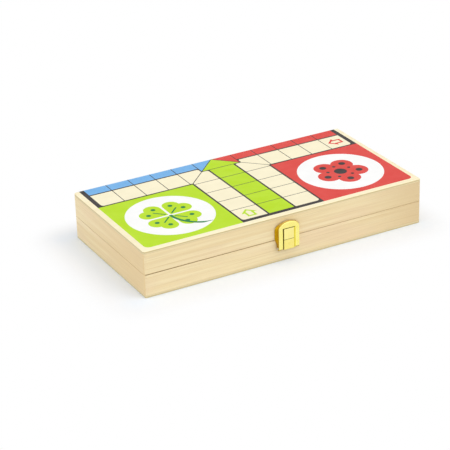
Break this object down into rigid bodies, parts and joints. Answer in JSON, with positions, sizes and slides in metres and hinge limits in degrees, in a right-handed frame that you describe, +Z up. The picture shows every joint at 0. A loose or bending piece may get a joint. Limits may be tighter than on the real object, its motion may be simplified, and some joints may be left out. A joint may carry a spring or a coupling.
{
  "type": "folding ludo board box",
  "caption": "Wooden box of two hinged trays that shuts with an arched bail latch and unfolds flat into a square printed ludo board.",
  "frame": {"origin": "middle of the shut box's underside, on the lower printed face", "axes": "+X along the box to the right as seen from the latch, +Y from the latch to the hinges, +Z up"},
  "size_m": [0.28, 0.1464, 0.0443],
  "materials": {
    "basswood": "pale basswood, fine straight grain, thin satin lacquer",
    "cream_ink": "screen-printed ink under satin lacquer",
    "green_ink": "screen-printed ink under satin lacquer",
    "dark_green_ink": "screen-printed ink under satin lacquer",
    "red_ink": "screen-printed ink under satin lacquer",
    "blue_ink": "screen-printed ink under satin lacquer",
    "yellow_ink": "screen-printed ink under satin lacquer",
    "black_ink": "screen-printed ink under satin lacquer",
    "white_ink": "screen-printed ink under satin lacquer",
    "latch_brass": "bright brass-plated stamped steel",
    "hinge_brass": "brass-plated stamped steel",
    "steel": "plain bright steel"
  },
  "bodies": {
    "lower_box": {"lower_panel": "basswood", "lower_front_rail": "basswood", "lower_back_rail": "basswood", "lower_left_rail": "basswood", "lower_right_rail": "basswood", "lower_cream_print": "cream_ink", "lower_yellow_print": "yellow_ink", "lower_blue_print": "blue_ink", "lower_red_print": "red_ink", "lower_black_print": "black_ink", "lower_white_print": "white_ink", "left_hinge_lower_leaf": "hinge_brass", "left_hinge_pin": "steel", "right_hinge_lower_leaf": "hinge_brass", "right_hinge_pin": "steel", "lower_hinge_screws": "steel", "latch_base": "latch_brass", "latch_pin": "latch_brass"},
    "upper_box": {"upper_panel": "basswood", "upper_front_rail": "basswood", "upper_back_rail": "basswood", "upper_left_rail": "basswood", "upper_right_rail": "basswood", "upper_cream_print": "cream_ink", "upper_green_print": "green_ink", "upper_red_print": "red_ink", "upper_blue_print": "blue_ink", "upper_black_print": "black_ink", "upper_white_print": "white_ink", "upper_dark_green_print": "dark_green_ink", "upper_hinge_screws": "steel", "left_hinge_upper_leaf": "hinge_brass", "right_hinge_upper_leaf": "hinge_brass", "latch_catch": "latch_brass"},
    "latch_bail": {"latch_bail": "latch_brass"}
  },
  "joints": [
    {"name": "lid_hinge", "type": "hinge", "parent": "lower_box", "child": "upper_box", "pos_m": [0, 0.0704, 0.02215], "axis": [-1, 0, 0], "range_deg": [0, 180]},
    {"name": "latch_pivot", "type": "hinge", "parent": "lower_box", "child": "latch_bail", "pos_m": [-0.0011, -0.0724, 0.0143], "axis": [1, 0, 0], "range_deg": [0, 115]}
  ]
}
